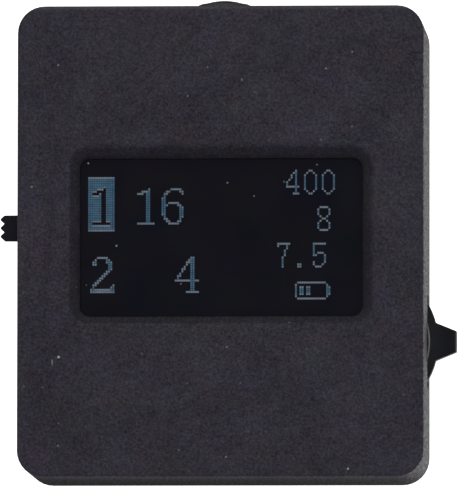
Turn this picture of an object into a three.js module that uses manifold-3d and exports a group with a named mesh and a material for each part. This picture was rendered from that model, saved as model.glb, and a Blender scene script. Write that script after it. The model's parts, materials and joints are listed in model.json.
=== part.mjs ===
import * as THREE from 'three';
import { mergeVertices } from 'three/addons/utils/BufferGeometryUtils.js';
import Module from 'manifold-3d';

// Light meter that slides into a camera's accessory shoe.
// Millimetres, +Z up out of the display, +Y towards the subject, origin at the foot's underside.

const wasm = await Module();
wasm.setup();

// Round work: facets on a full circle, facets in a quarter turn, and the overrun of every cut
const fineFacets = 48;
const roundFacets = 24;
const smallFacets = 16;
const cornerFacets = 6;
const skinFacets = 8;
const overrun = 1.0;

// Shoe foot
const footWidth = 18.6;
const footLength = 18.0;
const footThickness = 2.0;
const footCorner = 1.0;
const footEdge = 0.25;
const neckWidth = 12.0;
const neckHeight = 1.8;

// Case: its walls stand round the display stack, and the front shell takes most of its depth
const bodyCorner = 2.05;
const bodyEdge = 0.25;
const frontShellDepth = 8.4;
const sideWall = 1.8;
const faceWall = 1.4;
const floorWall = 1.6;
const cavityCorner = 0.6;

// Tongue and groove where the two shells meet
const tongueThickness = 0.6;
const tongueHeight = 0.8;
const jointGap = 0.3;

// Clearances
const slideGap = 0.1;
const boreGap = 0.1;
const seatGap = 0.3;
const cutGap = 0.35;

// Window in the face: a funnel down to the display, rounded over at the face and leaning forward
const windowWidth = 21.6;
const windowLength = 12.1;
const windowCorner = 0.8;
const funnelReach = 0.98;
const funnelDepth = 1.2;
const funnelRound = 0.5;
const funnelRoundSteps = 4;
const funnelLean = 0.2;

// Case screws, their inserts and bosses
const bossRadius = 2.05;
const bossInset = 2.85;
const caseScrewShankRadius = 0.8;
const caseScrewHeadRadius = 1.4;
const caseScrewHeadHeight = 1.0;
const caseScrewLength = 5.0;
const caseScrewSink = 0.3;
const insertRadius = 1.3;
const insertLength = 3.0;
const insertGroove = 0.2;
const socketRadius = 0.55;
const socketDepth = 0.6;
const socketSides = 6;

// Foot screws and the nut plate that they pull against
const footScrewShankRadius = 0.8;
const footScrewHeadRadius = 1.5;
const footScrewConeHeight = 0.75;
const footScrewSink = 0.1;
const footScrewSideInset = 2.6;
const footScrewEndInset = 3.8;
const footScrewTipGap = 0.1;
const nutPlateSideMargin = 1.5;
const nutPlateEndMargin = 1.6;
const nutPlateThickness = 0.8;
const nutPlateCorner = 0.8;

// Display stack, from the face's inner side down
const gasketThickness = 0.3;
const gasketBorder = 1.5;
const gasketSetback = 0.2;
const glassThickness = 0.7;
const glassSideMargin = 2.55;
const glassEndMargin = 1.95;
const glassLedge = 3.26;
const glassSideRoom = 0.35;
const displayFrontRoom = 7.83;
const displayRearRoom = 5.31;
const carrierHeight = 2.3;
const carrierPlate = 0.6;
const carrierWall = 1.0;
const carrierWindowWidth = 14.0;
const carrierWindowLength = 8.0;
const driverWidth = 10.0;
const driverLength = 1.2;
const driverHeight = 0.3;
const driverInset = 0.5;
const flexWidth = 12.0;
const flexThickness = 0.15;
const flexBondLength = 1.2;
const flexOverhang = 1.3;
const flexConnectorWidth = 14.0;
const flexConnectorLength = 3.6;
const flexConnectorHeight = 1.2;
const flexEntryHeight = 0.6;

// Ribs that keep the glass from sliding in the shell
const stopRibThickness = 0.8;
const topStopWidth = 12.0;
const bottomStopWidth = 4.0;
const bottomStopX = 10.0;

// Main board and its supports
const boardThickness = 1.0;
const boardSideGap = 0.4;
const boardFrontGap = 0.4;
const boardRearGap = 0.6;
const boardNotchGap = 0.4;
const supportThickness = 1.2;
const supportLength = 5.0;
const sideSupportY = 9.5;
const rearSupportX = 5.0;

// Chips on the main board, the outer ones set in from the display carrier's walls
const chipSideRoom = 1.35;
const processorSize = 5.0;
const processorHeight = 0.9;
const processorX = -5.0;
const processorY = 3.5;
const chargerSize = 3.0;
const chargerHeight = 0.9;
const chargerY = -3.2;
const regulatorLength = 2.9;
const regulatorWidth = 1.6;
const regulatorHeight = 1.1;
const regulatorY = -2.0;
const crystalLength = 3.2;
const crystalWidth = 1.5;
const crystalHeight = 0.8;
const crystalX = 1.5;
const crystalY = 4.8;
const inductorSize = 3.0;
const inductorHeight = 1.2;
const inductorY = 3.6;
const capacitorLength = 2.0;
const capacitorWidth = 1.25;
const capacitorHeight = 0.8;
const capacitorPitch = 2.4;
const capacitorCount = 3;
const capacitorX = 0.0;
const capacitorY = 1.0;
const chipEdge = 0.12;

// Charging port
const portWidth = 8.94;
const portHeight = 3.26;
const portDepth = 7.3;
const portWall = 0.3;
const portRearRoom = 8.5;
const portRecess = 0.3;
const portGap = 0.3;
const bladeWidth = 6.2;
const bladeThickness = 0.7;
const bladeReach = 5.0;
const portBackThickness = 1.0;

// Battery between the light sensor and the jog lever, its foam pad and leads
const batteryThickness = 3.0;
const batteryCorner = 0.9;
const batteryEdge = 0.5;
const batteryTopRoom = 0.7;
const batterySideGap = 0.7;
const batteryFrontGap = 0.5;
const batteryRearGap = 0.67;
const padThickness = 0.3;
const padMargin = 1.5;
const leadRadius = 0.35;
const leadPitch = 1.6;
const leadReach = 1.5;
const leadSetback = 3.0;
const leadSides = 8;
const leadSteps = 14;

// Power switch on the left edge of the board
const switchLength = 6.7;
const switchDepth = 2.7;
const switchHeight = 1.8;
const switchSheet = 0.2;
const switchBaseHeight = 0.4;
const switchCentreY = 0.55;
const sliderTravel = 2.0;
const sliderBodyLength = 3.4;
const knobWidth = 1.95;
const knobReach = 1.76;
const toothCount = 3;
const toothDepth = 0.3;
const toothRootShare = 0.42;

// Jog lever on the right edge of the board
const jogRadius = 5.9;
const jogProud = 0.8;
const jogBossGap = 0.34;
const jogThickness = 1.5;
const jogDropBelowBoard = 1.4;
const jogRimWidth = 0.62;
const jogHubStep = 0.15;
const jogBoreRadius = 1.15;
const jogPinRadius = 1.0;
const jogCapRadius = 1.7;
const jogCapThickness = 0.3;
const jogPushTravel = 0.4;
const nubRootWidth = 2.9;
const nubTipWidth = 1.6;
const nubReach = 1.42;
const jogEdge = 0.12;
const jogHousingWidth = 8.4;
const jogHousingReachBack = 6.6;
const jogHousingReachFront = 2.4;
const jogHousingPlate = 0.5;
const jogRailWidth = 0.9;
const jogRearWall = 0.8;
const carriagePlate = 0.5;
const carriageReachFront = 2.0;
const leafLength = 4.0;
const leafBow = 0.25;
const leafThickness = 0.1;
const leafGap = 0.05;

// Light sensor behind its dome in the front wall
const collarRadius = 2.1;
const collarReach = 0.6;
const collarEdge = 0.3;
const lensRadius = 1.6;
const lensFlangeRadius = 2.2;
const lensFlangeThickness = 0.5;
const lensDomeRise = 0.28;
const lensGap = 0.1;
const sensorChipSize = 2.0;
const sensorChipHeight = 0.7;
const sensorToLens = 0.3;
const sensorBoardWidth = 8.0;
const sensorBoardHeight = 5.0;
const sensorBoardThickness = 0.8;
const guideWall = 0.9;
const guideOverlap = 0.5;
const headerWidth = 5.2;
const headerLength = 2.4;
const headerHeight = 2.0;

// Levels, from the shoe foot up through the stack of parts to the face
const backZ = footThickness + neckHeight;
const floorZ = backZ + floorWall;
const batteryBottomZ = floorZ + padThickness;
const boardBottomZ = batteryBottomZ + batteryThickness + batteryTopRoom;
const boardTopZ = boardBottomZ + boardThickness;
const substrateBottomZ = boardTopZ + carrierHeight;
const coverGlassBottomZ = substrateBottomZ + glassThickness;
const gasketBottomZ = coverGlassBottomZ + glassThickness;
const ceilingZ = gasketBottomZ + gasketThickness;
const faceZ = ceilingZ + faceWall;
const partingZ = faceZ - frontShellDepth;
const sensorZ = boardBottomZ + boardThickness / 2;
const switchBottomZ = boardBottomZ - switchHeight;
const switchBaseZ = boardBottomZ - switchBaseHeight;
const sliderBottomZ = switchBottomZ + switchSheet + slideGap;
const sliderTopZ = switchBaseZ - slideGap;
const jogTopZ = boardBottomZ - jogDropBelowBoard;
const jogBottomZ = jogTopZ - jogThickness;
const jogPlateZ = boardBottomZ - jogHousingPlate;
const carriageBottomZ = jogPlateZ - slideGap - carriagePlate;
const caseScrewSeatZ = backZ + caseScrewSink + caseScrewHeadHeight;

// Plan of the case, from the window out to the walls
const glassWidth = windowWidth + 2 * glassSideMargin;
const coverGlassLength = windowLength + 2 * glassEndMargin;
const glassLength = coverGlassLength + glassLedge;
const cavityWidth = glassWidth + 2 * glassSideRoom;
const cavityLength = displayFrontRoom + glassLength + displayRearRoom;
const bodyWidth = cavityWidth + 2 * sideWall;
const bodyLength = cavityLength + 2 * sideWall;
const bossX = bodyWidth / 2 - bossInset;
const bossY = bodyLength / 2 - bossInset;
const glassTopY = cavityLength / 2 - displayFrontRoom;
const glassBottomY = glassTopY - glassLength;
const coverGlassBottomY = glassTopY - coverGlassLength;
const windowCentreY = glassTopY - glassEndMargin - windowLength / 2;
const carrierInnerX = glassWidth / 2 - carrierWall;

// Places of the parts inside
const lensInnerY = cavityLength / 2 - lensFlangeThickness;
const sensorChipFrontY = lensInnerY - sensorToLens;
const sensorBoardFrontY = sensorChipFrontY - sensorChipHeight;
const sensorBoardRearY = sensorBoardFrontY - sensorBoardThickness;
const boardWidth = cavityWidth - 2 * boardSideGap;
const boardFrontY = sensorBoardRearY - boardFrontGap;
const boardRearY = -cavityLength / 2 + boardRearGap;
const flexConnectorFrontY = glassBottomY + flexOverhang;
const chargerX = -carrierInnerX + chipSideRoom + chargerSize / 2;
const regulatorX = carrierInnerX - chipSideRoom - regulatorLength / 2;
const inductorX = carrierInnerX - chipSideRoom - inductorSize / 2;
const portY = -cavityLength / 2 + portRearRoom;
const portFrontX = -bodyWidth / 2 + portRecess;
const portRearX = portFrontX + portDepth;
const switchFrontX = -cavityWidth / 2 + seatGap;
const switchRearX = switchFrontX + switchDepth;
const knobRestY = switchCentreY + sliderTravel / 2;
const jogHubRadius = jogRadius - jogRimWidth;
const jogCentreX = bodyWidth / 2 + jogProud - jogRadius;
const jogBossReach = jogRadius + jogBossGap + bossRadius;
const jogCentreY = -bossY + Math.sqrt(jogBossReach ** 2 - (bossX - jogCentreX) ** 2);
const leafRoom = leafThickness + leafBow + leafGap;
const carriageReachBack = jogHousingReachBack - jogRearWall - leafRoom - jogPushTravel;
const batteryFrontY = sensorBoardRearY - batteryFrontGap;
const batteryRearY = jogCentreY + jogRadius + batteryRearGap;
const batteryWidth = 2 * (-switchRearX - batterySideGap);
const batteryLength = batteryFrontY - batteryRearY;
const batteryCentreY = (batteryFrontY + batteryRearY) / 2;
const leadY = batteryRearY + leadSetback;

// Places of the fasteners
const footScrewX = neckWidth / 2 - footScrewSideInset;
const footScrewY = footLength / 2 - footScrewEndInset;
const nutPlateWidth = 2 * (footScrewX + nutPlateSideMargin);
const nutPlateLength = 2 * (footScrewY + nutPlateEndMargin);
const caseBossPlaces = [[-bossX, -bossY], [bossX, -bossY], [-bossX, bossY], [bossX, bossY]];
const footScrewPlaces = [
  [-footScrewX, -footScrewY],
  [footScrewX, -footScrewY],
  [-footScrewX, footScrewY],
  [footScrewX, footScrewY],
];

// Finishes

function finish(color, roughness, metalness) {
  return new THREE.MeshStandardMaterial({ color, roughness, metalness });
}

const finishes = {
  nylon: finish(0x313035, 0.85, 0.0),
  blackPlastic: finish(0x17181c, 0.5, 0.0),
  lensPlastic: finish(0x26272b, 0.15, 0.0),
  shoeMetal: finish(0x8b8d90, 0.35, 0.9),
  steel: finish(0x9a9a9c, 0.3, 0.9),
  blackSteel: finish(0x202124, 0.4, 0.8),
  brass: finish(0xb08d4a, 0.35, 0.9),
  displayGlass: finish(0x0d0d11, 0.1, 0.0),
  foam: finish(0x1b1b1d, 0.95, 0.0),
  circuitBoard: finish(0x14402c, 0.6, 0.0),
  chip: finish(0x1a1a1c, 0.55, 0.0),
  flexFilm: finish(0x9c6a2a, 0.45, 0.0),
  batteryFoil: finish(0xb9bcc0, 0.4, 0.7),
  redWire: finish(0x9c1c1c, 0.5, 0.0),
  blackWire: finish(0x141414, 0.5, 0.0),
};

const meter = new THREE.Group();

// Solids

function solidOf(geometry) {
  const bare = geometry.clone();
  bare.deleteAttribute('normal');
  bare.deleteAttribute('uv');
  const merged = mergeVertices(bare);
  const corners = merged.index.array;
  const kept = [];
  for (let first = 0; first < corners.length; first += 3) {
    const [a, b, c] = corners.slice(first, first + 3);
    if (a !== b && b !== c && c !== a) kept.push(a, b, c);
  }
  const vertProperties = new Float32Array(merged.attributes.position.array);
  const triVerts = new Uint32Array(kept);
  return new wasm.Manifold(new wasm.Mesh({ numProp: 3, vertProperties, triVerts }));
}

function geometryOf(solid) {
  const mesh = solid.getMesh();
  const geometry = new THREE.BufferGeometry();
  geometry.setAttribute('position', new THREE.BufferAttribute(new Float32Array(mesh.vertProperties), 3));
  geometry.setIndex(new THREE.BufferAttribute(new Uint32Array(mesh.triVerts), 1));
  return geometry;
}

function addPart(name, solid, material, x = 0, y = 0, z = 0) {
  const mesh = new THREE.Mesh(geometryOf(solid), material);
  mesh.name = name;
  mesh.position.set(x, y, z);
  meter.add(mesh);
}

function join(solids) {
  return solids.reduce((sum, solid) => sum.add(solid));
}

function cut(solid, tools) {
  return tools.reduce((rest, tool) => rest.subtract(tool), solid);
}

// Level rings, as lists of points round the outline

function plainRing(width, length) {
  const x = width / 2;
  const y = length / 2;
  return [[x, -y], [x, y], [-x, y], [-x, -y]];
}

function roundedRing(width, length, radius, facets) {
  const points = [];
  const quarters = [[1, 1], [-1, 1], [-1, -1], [1, -1]];
  quarters.forEach(([sideX, sideY], turn) => {
    for (let step = 0; step <= facets; step += 1) {
      const angle = (Math.PI / 2) * (turn + step / facets);
      const x = sideX * (width / 2 - radius) + radius * Math.cos(angle);
      const y = sideY * (length / 2 - radius) + radius * Math.sin(angle);
      points.push([x, y]);
    }
  });
  return points;
}

// A body through level rings of as many points each, given from the bottom up
function loft(rings) {
  const count = rings[0].points.length;
  const positions = rings.flatMap(({ z, points }) => points.flatMap(([x, y]) => [x, y, z]));
  const faces = [];
  for (let level = 0; level + 1 < rings.length; level += 1) {
    const low = level * count;
    const high = low + count;
    for (let step = 0; step < count; step += 1) {
      const next = (step + 1) % count;
      faces.push(low + step, low + next, high + next);
      faces.push(low + step, high + next, high + step);
    }
  }
  const top = (rings.length - 1) * count;
  for (let step = 1; step + 1 < count; step += 1) {
    faces.push(0, step + 1, step);
    faces.push(top, top + step, top + step + 1);
  }
  const geometry = new THREE.BufferGeometry();
  geometry.setAttribute('position', new THREE.BufferAttribute(new Float32Array(positions), 3));
  geometry.setIndex(faces);
  return geometry;
}

// Levels are pairs of a height and how far the outline is drawn in there
function softBlock(width, length, radius, levels, facets = cornerFacets) {
  return loft(levels.map(([z, inset]) => ({
    z,
    points: roundedRing(width - 2 * inset, length - 2 * inset, radius - inset, facets),
  })));
}

function roundedPrism(width, length, radius, bottom, top, facets = cornerFacets) {
  return softBlock(width, length, radius, [[bottom, 0], [top, 0]], facets);
}

function roundedLevels(bottom, top, edge) {
  const share = 1 - Math.SQRT1_2;
  return [
    [bottom, edge],
    [bottom + edge * share, edge * share],
    [bottom + edge, 0],
    [top - edge, 0],
    [top - edge * share, edge * share],
    [top, edge],
  ];
}

// A small moulded block on the board with its top edges broken
function moulded(width, length, bottom, top, edge = chipEdge) {
  return solidOf(loft([
    { z: bottom, points: plainRing(width, length) },
    { z: top - edge, points: plainRing(width, length) },
    { z: top, points: plainRing(width - 2 * edge, length - 2 * edge) },
  ]));
}

function box(lowX, highX, lowY, highY, lowZ, highZ) {
  const geometry = new THREE.BoxGeometry(highX - lowX, highY - lowY, highZ - lowZ);
  return solidOf(geometry.translate((lowX + highX) / 2, (lowY + highY) / 2, (lowZ + highZ) / 2));
}

function rod(radius, bottom, top, x = 0, y = 0, facets = roundFacets) {
  const geometry = new THREE.CylinderGeometry(radius, radius, top - bottom, facets);
  return solidOf(geometry.rotateX(Math.PI / 2).translate(x, y, (bottom + top) / 2));
}

// A turned piece standing along Z, from its radius and height pairs, given from the bottom up
function turned(profile, x = 0, y = 0, facets = smallFacets) {
  const points = profile.map(([radius, height]) => new THREE.Vector2(radius, height));
  return solidOf(new THREE.LatheGeometry(points, facets).rotateX(Math.PI / 2).translate(x, y, 0));
}

// A turned piece lying along Y at the sensor's height
function turnedForward(profile) {
  const points = profile.map(([radius, reach]) => new THREE.Vector2(radius, reach));
  return solidOf(new THREE.LatheGeometry(points, roundFacets).translate(0, 0, sensorZ));
}

function bored(radius, bottom, top) {
  return [[0, bottom], [radius, bottom], [radius, top], [0, top]];
}

// An outline drawn in Y and Z, drawn out along X
function alongX(outline, lowX, highX) {
  const geometry = new THREE.ExtrudeGeometry(outline, {
    depth: highX - lowX,
    bevelEnabled: false,
    curveSegments: cornerFacets,
  });
  const turnToX = new THREE.Matrix4().makeBasis(
    new THREE.Vector3(0, 1, 0),
    new THREE.Vector3(0, 0, 1),
    new THREE.Vector3(1, 0, 0),
  );
  return solidOf(geometry.applyMatrix4(turnToX).translate(lowX, 0, 0));
}

// A race-track section of the charging port, drawn out along X
function portSection(growth, lowX, highX) {
  const height = portHeight + 2 * growth;
  const prism = roundedPrism(height, portWidth + 2 * growth, height / 2 - slideGap, lowX, highX);
  return solidOf(prism.rotateY(Math.PI / 2).translate(0, portY, boardBottomZ - portHeight / 2));
}

// Shoe foot: a plate and a neck, countersunk for its four screws

function shoeFoot() {
  const plate = solidOf(softBlock(footWidth, footLength, footCorner, [
    [0, footEdge],
    [footEdge, 0],
    [footThickness - footEdge, 0],
    [footThickness, footEdge],
  ]));
  const neck = solidOf(roundedPrism(neckWidth, footLength, footCorner, footThickness - footEdge, backZ));
  return cut(plate.add(neck), footScrewPlaces.map(([x, y]) => footScrewHole(x, y)));
}

function footScrewHole(x, y) {
  return turned([
    [0, -overrun],
    [footScrewHeadRadius + boreGap, -overrun],
    [footScrewHeadRadius + boreGap, footScrewSink],
    [footScrewShankRadius + boreGap, footScrewSink + footScrewConeHeight],
    [footScrewShankRadius + boreGap, floorZ + overrun],
    [0, floorZ + overrun],
  ], x, y);
}

function footScrew() {
  const tip = floorZ - footScrewTipGap;
  const screw = turned([
    [0, footScrewSink],
    [footScrewHeadRadius, footScrewSink],
    [footScrewShankRadius, footScrewSink + footScrewConeHeight],
    [footScrewShankRadius, tip],
    [0, tip],
  ]);
  return screw.subtract(rod(socketRadius, -overrun, footScrewSink + socketDepth, 0, 0, socketSides));
}

function nutPlate() {
  const bottom = floorZ - nutPlateThickness;
  const plate = solidOf(roundedPrism(nutPlateWidth, nutPlateLength, nutPlateCorner, bottom, floorZ));
  return cut(plate, footScrewPlaces.map(([x, y]) => footScrewHole(x, y)));
}

// Outer skin that both shells are cut from

function bodySkin() {
  const levels = roundedLevels(backZ, faceZ, bodyEdge);
  return solidOf(softBlock(bodyWidth, bodyLength, bodyCorner, levels, skinFacets));
}

function cavity(growth, bottom, top) {
  const width = cavityWidth + 2 * growth;
  const length = cavityLength + 2 * growth;
  return solidOf(roundedPrism(width, length, cavityCorner + growth, bottom, top));
}

// Openings that cross the parting line, taken out of both shells

function jogSlot() {
  const radius = jogRadius + cutGap;
  const disc = rod(radius, jogBottomZ - cutGap, jogTopZ + cutGap, jogCentreX, jogCentreY, fineFacets);
  const wallZone = box(
    cavityWidth / 2 - overrun, bodyWidth, -bodyLength, bodyLength, jogBottomZ - overrun, jogTopZ + overrun,
  );
  return disc.intersect(wallZone);
}

function switchSlot() {
  const reach = (knobWidth + sliderTravel) / 2 + cutGap;
  return box(
    -bodyWidth, -cavityWidth / 2 + overrun,
    switchCentreY - reach, switchCentreY + reach,
    partingZ, sliderTopZ + cutGap,
  );
}

function portOpening() {
  return portSection(portGap, -bodyWidth, -cavityWidth / 2 + overrun);
}

// Front shell: face with the window funnel, bosses, glass stops, sensor collar and guides

// The window's outline at a height, spread out by that much and leaning with its spread
function funnelRing(z, spread) {
  const centreY = windowCentreY + funnelLean * (spread / funnelReach);
  const outline = roundedRing(
    windowWidth + 2 * spread,
    windowLength + 2 * spread,
    windowCorner + spread,
    cornerFacets,
  );
  return { z, points: outline.map(([x, y]) => [x, y + centreY]) };
}

// A straight slope from the throat runs into the round that meets the face
function windowFunnel() {
  const throatZ = faceZ - funnelDepth;
  const roundZ = faceZ - funnelRound;
  const toRound = Math.hypot(funnelReach, roundZ - throatZ);
  const slope = Math.atan2(roundZ - throatZ, funnelReach) + Math.asin(funnelRound / toRound);
  const rings = [funnelRing(ceilingZ - overrun, 0), funnelRing(throatZ, 0)];
  for (let left = funnelRoundSteps; left >= 0; left -= 1) {
    const turn = slope * (left / funnelRoundSteps);
    const z = roundZ + funnelRound * Math.cos(turn);
    rings.push(funnelRing(z, funnelReach - funnelRound * Math.sin(turn)));
  }
  rings.push(funnelRing(faceZ + overrun, funnelReach));
  return solidOf(loft(rings));
}

function frontBoss(x, y) {
  return rod(bossRadius, partingZ, ceilingZ + faceWall / 2, x, y);
}

function insertBore(x, y) {
  const bore = rod(insertRadius + boreGap, partingZ - overrun, partingZ + insertLength, x, y);
  const tipRoom = rod(caseScrewShankRadius + boreGap, partingZ, partingZ + insertLength + seatGap, x, y);
  return bore.add(tipRoom);
}

function glassStops() {
  const top = box(
    -topStopWidth / 2, topStopWidth / 2,
    glassTopY + seatGap, glassTopY + seatGap + stopRibThickness,
    substrateBottomZ, ceilingZ + faceWall / 2,
  );
  const bottoms = [-bottomStopX, bottomStopX].map((x) => box(
    x - bottomStopWidth / 2, x + bottomStopWidth / 2,
    glassBottomY - seatGap - stopRibThickness, glassBottomY - seatGap,
    substrateBottomZ, ceilingZ + faceWall / 2,
  ));
  return [top, ...bottoms];
}

function sensorCollar() {
  const wallY = bodyLength / 2;
  return turnedForward([
    [0, wallY - sideWall / 2],
    [collarRadius, wallY - sideWall / 2],
    [collarRadius, wallY + collarReach - collarEdge],
    [collarRadius - collarEdge * (1 - Math.SQRT1_2), wallY + collarReach - collarEdge * (1 - Math.SQRT1_2)],
    [collarRadius - collarEdge, wallY + collarReach],
    [0, wallY + collarReach],
  ]);
}

function sensorGuide(side) {
  const innerX = side * (sensorBoardWidth / 2 - guideOverlap);
  const outerX = side * (sensorBoardWidth / 2 + guideWall);
  const slotX = side * (sensorBoardWidth / 2 + boreGap);
  const bottom = boardTopZ + seatGap;
  const guide = box(
    Math.min(innerX, outerX), Math.max(innerX, outerX),
    sensorBoardRearY - guideWall, cavityLength / 2 + sideWall / 2,
    bottom, ceilingZ + faceWall / 2,
  );
  const slot = box(
    Math.min(0, slotX), Math.max(0, slotX),
    sensorBoardRearY - boreGap, sensorBoardFrontY + boreGap,
    bottom - overrun, sensorZ + sensorBoardHeight / 2 + boreGap,
  );
  return guide.subtract(slot);
}

function frontShell() {
  const upperHalf = box(-bodyWidth, bodyWidth, -bodyLength, bodyLength, partingZ, faceZ + overrun);
  const groove = cavity(tongueThickness + jointGap, partingZ - overrun, partingZ + tongueHeight + jointGap);
  const skin = cut(bodySkin().intersect(upperHalf), [cavity(0, partingZ - overrun, ceilingZ), groove]);
  const solid = join([
    skin,
    ...caseBossPlaces.map(([x, y]) => frontBoss(x, y)),
    ...glassStops(),
    sensorCollar(),
    sensorGuide(-1),
    sensorGuide(1),
  ]);
  return cut(solid, [
    windowFunnel(),
    ...caseBossPlaces.map(([x, y]) => insertBore(x, y)),
    turnedForward(bored(lensRadius + lensGap, cavityLength / 2 - overrun, bodyLength)),
    jogSlot(),
    switchSlot(),
    portOpening(),
  ]);
}

// Back shell: floor, tongue, screw posts, pocket for the nut plate and posts under the board

function tongue() {
  const outer = cavity(tongueThickness, partingZ - sideWall, partingZ + tongueHeight);
  const inner = cavity(0, partingZ - sideWall - overrun, partingZ + tongueHeight + overrun);
  const bossRoom = caseBossPlaces.map(([x, y]) => rod(
    bossRadius + jointGap, partingZ, faceZ, x, y,
  ));
  return cut(outer, [inner, ...bossRoom]);
}

function boardSupports() {
  const wallX = cavityWidth / 2;
  const wallY = cavityLength / 2;
  const outerX = wallX - seatGap;
  const outerY = wallY - seatGap;
  const halfLength = supportLength / 2;
  const sides = [-1, 1].flatMap((side) => {
    const nearX = side * (outerX - supportThickness);
    const upperX = side * outerX;
    const lowerX = side * (wallX + tongueThickness);
    const lowY = sideSupportY - halfLength;
    const highY = sideSupportY + halfLength;
    return [
      box(Math.min(nearX, upperX), Math.max(nearX, upperX), lowY, highY, backZ + floorWall / 2, boardBottomZ),
      box(Math.min(nearX, lowerX), Math.max(nearX, lowerX), lowY, highY, backZ + floorWall / 2, partingZ),
    ];
  });
  const rears = [-rearSupportX, rearSupportX].flatMap((x) => {
    const lowX = x - halfLength;
    const highX = x + halfLength;
    const nearY = -outerY + supportThickness;
    return [
      box(lowX, highX, -outerY, nearY, backZ + floorWall / 2, boardBottomZ),
      box(lowX, highX, -wallY - tongueThickness, nearY, backZ + floorWall / 2, partingZ),
    ];
  });
  return [...sides, ...rears];
}

function caseScrewHole(x, y) {
  const head = rod(caseScrewHeadRadius + seatGap, backZ - overrun, caseScrewSeatZ, x, y);
  const shank = rod(caseScrewShankRadius + boreGap, backZ, partingZ + overrun, x, y);
  return head.add(shank);
}

function nutPlatePocket() {
  const width = nutPlateWidth + 2 * boreGap;
  const length = nutPlateLength + 2 * boreGap;
  return solidOf(roundedPrism(width, length, nutPlateCorner, floorZ - nutPlateThickness, floorZ + overrun));
}

function backShell() {
  const lowerHalf = box(-bodyWidth, bodyWidth, -bodyLength, bodyLength, backZ - overrun, partingZ);
  const tray = bodySkin().intersect(lowerHalf).subtract(cavity(0, floorZ, partingZ + overrun));
  const posts = caseBossPlaces.map(([x, y]) => rod(bossRadius, backZ + floorWall / 2, partingZ, x, y));
  return cut(join([tray, ...posts, tongue(), ...boardSupports()]), [
    nutPlatePocket(),
    ...caseBossPlaces.map(([x, y]) => caseScrewHole(x, y)),
    ...footScrewPlaces.map(([x, y]) => footScrewHole(x, y)),
    jogSlot(),
    switchSlot(),
    portOpening(),
  ]);
}

// Case fasteners

function caseScrew() {
  const headZ = caseScrewSeatZ - caseScrewHeadHeight;
  const tipZ = caseScrewSeatZ + caseScrewLength;
  const screw = turned([
    [0, headZ],
    [caseScrewHeadRadius, headZ],
    [caseScrewHeadRadius, caseScrewSeatZ],
    [caseScrewShankRadius, caseScrewSeatZ],
    [caseScrewShankRadius, tipZ],
    [0, tipZ],
  ]);
  return screw.subtract(rod(socketRadius, headZ - overrun, headZ + socketDepth, 0, 0, socketSides));
}

function insert() {
  const middle = partingZ + insertLength / 2;
  const waist = insertRadius - insertGroove;
  const bore = caseScrewShankRadius + boreGap;
  return turned([
    [bore, partingZ],
    [insertRadius, partingZ],
    [insertRadius, middle - insertGroove],
    [waist, middle - insertGroove],
    [waist, middle + insertGroove],
    [insertRadius, middle + insertGroove],
    [insertRadius, partingZ + insertLength],
    [bore, partingZ + insertLength],
    [bore, partingZ],
  ]);
}

// Display stack

function displayGasket() {
  const width = windowWidth + 2 * gasketBorder;
  const length = windowLength + 2 * gasketBorder;
  const outer = roundedPrism(width, length, windowCorner, gasketBottomZ, ceilingZ);
  const holeWidth = windowWidth + 2 * gasketSetback;
  const holeLength = windowLength + 2 * gasketSetback;
  const hole = roundedPrism(holeWidth, holeLength, windowCorner, gasketBottomZ - overrun, ceilingZ + overrun);
  return solidOf(outer.translate(0, windowCentreY, 0)).subtract(solidOf(hole.translate(0, windowCentreY, 0)));
}

function glassSheet(bottomY, bottomZ) {
  return box(-glassWidth / 2, glassWidth / 2, bottomY, glassTopY, bottomZ, bottomZ + glassThickness);
}

function displayFlex() {
  const upper = coverGlassBottomZ + flexThickness / 2;
  const lower = boardTopZ + flexEntryHeight;
  const middle = (upper + lower) / 2;
  const bend = (upper - lower) / 2;
  const bendY = glassBottomY - flexOverhang;
  const half = flexThickness / 2;
  const outline = new THREE.Shape();
  outline.moveTo(glassBottomY + flexBondLength, upper + half);
  outline.lineTo(bendY, upper + half);
  outline.absarc(bendY, middle, bend + half, Math.PI / 2, (3 * Math.PI) / 2, false);
  outline.lineTo(flexConnectorFrontY, lower - half);
  outline.lineTo(flexConnectorFrontY, lower + half);
  outline.lineTo(bendY, lower + half);
  outline.absarc(bendY, middle, bend - half, (3 * Math.PI) / 2, Math.PI / 2, true);
  outline.lineTo(glassBottomY + flexBondLength, upper - half);
  outline.closePath();
  return alongX(outline, -flexWidth / 2, flexWidth / 2);
}

function displayCarrier() {
  const halfWidth = glassWidth / 2;
  const plateZ = substrateBottomZ - carrierPlate;
  const middleY = (glassTopY + glassBottomY) / 2;
  const outer = box(-halfWidth, halfWidth, glassBottomY, glassTopY, boardTopZ, substrateBottomZ);
  const inner = box(
    -carrierInnerX, carrierInnerX,
    glassBottomY - overrun, glassTopY - carrierWall,
    boardTopZ - overrun, plateZ,
  );
  const hatch = box(
    -carrierWindowWidth / 2, carrierWindowWidth / 2,
    middleY - carrierWindowLength / 2, middleY + carrierWindowLength / 2,
    plateZ - overrun, substrateBottomZ + overrun,
  );
  return cut(outer, [inner, hatch]);
}

// Main board, notched round the case bosses

function mainBoard() {
  const board = box(
    -boardWidth / 2, boardWidth / 2, boardRearY, boardFrontY, boardBottomZ, boardTopZ,
  );
  const notches = caseBossPlaces.map(([x, y]) => rod(
    bossRadius + boardNotchGap, boardBottomZ - overrun, boardTopZ + overrun, x, y,
  ));
  return cut(board, notches);
}

// Charging port: a drawn shell round an insulator with its contact blade

function portShell() {
  const outer = portSection(0, portFrontX, portRearX);
  return outer.subtract(portSection(-portWall, portFrontX - overrun, portRearX + overrun));
}

function portInsulator() {
  const growth = -portWall - boreGap;
  const block = portSection(growth, portRearX - portBackThickness, portRearX);
  const centreZ = boardBottomZ - portHeight / 2;
  const blade = box(
    portRearX - portBackThickness - bladeReach, portRearX - portBackThickness / 2,
    portY - bladeWidth / 2, portY + bladeWidth / 2,
    centreZ - bladeThickness / 2, centreZ + bladeThickness / 2,
  );
  return block.add(blade);
}

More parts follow.
